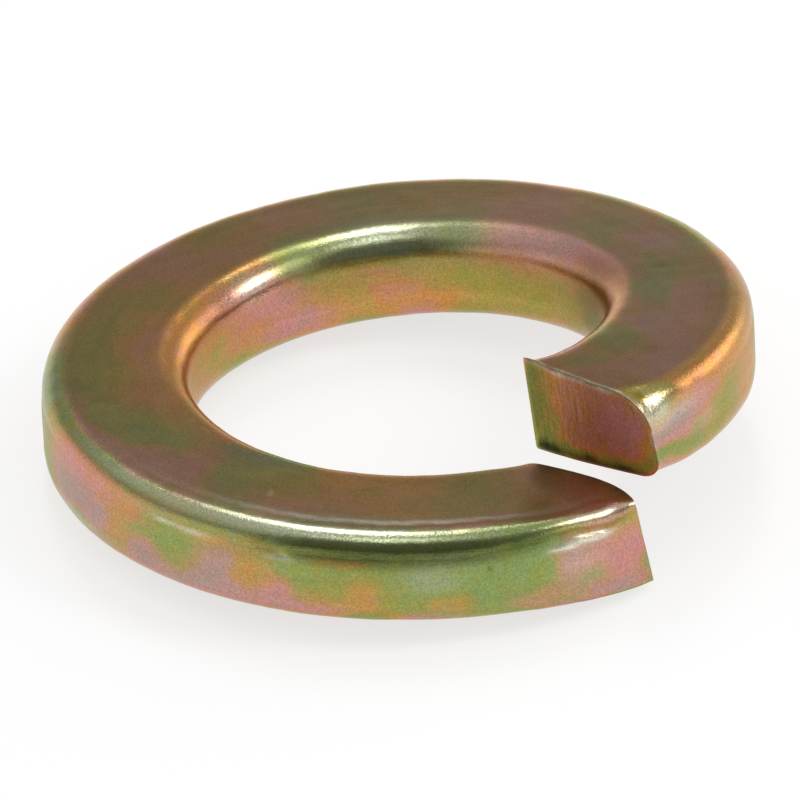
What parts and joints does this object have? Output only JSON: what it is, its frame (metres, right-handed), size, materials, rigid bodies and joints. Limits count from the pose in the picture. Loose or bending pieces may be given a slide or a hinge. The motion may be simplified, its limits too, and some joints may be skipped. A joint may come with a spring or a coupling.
{
  "type": "spring lock washer",
  "caption": "Split spring lock washer of rounded keystone wire, coiled left-handed, with slanted biting ends, plated yellow.",
  "frame": {"origin": "on the bore's axis, level with the lowest point of the coil", "axes": "+Z along the bore's axis, from the lower cut end to the upper one; the split lies about 47.5 degrees clockwise of +X, seen from above"},
  "size_m": [0.0144, 0.0144, 0.0042],
  "materials": {
    "passivated_steel": "zinc plated spring steel with an iridescent yellow passivate, satin faces and glossy rounded edges"
  },
  "bodies": {
    "root": {"lock_washer": "passivated_steel"}
  },
  "joints": []
}
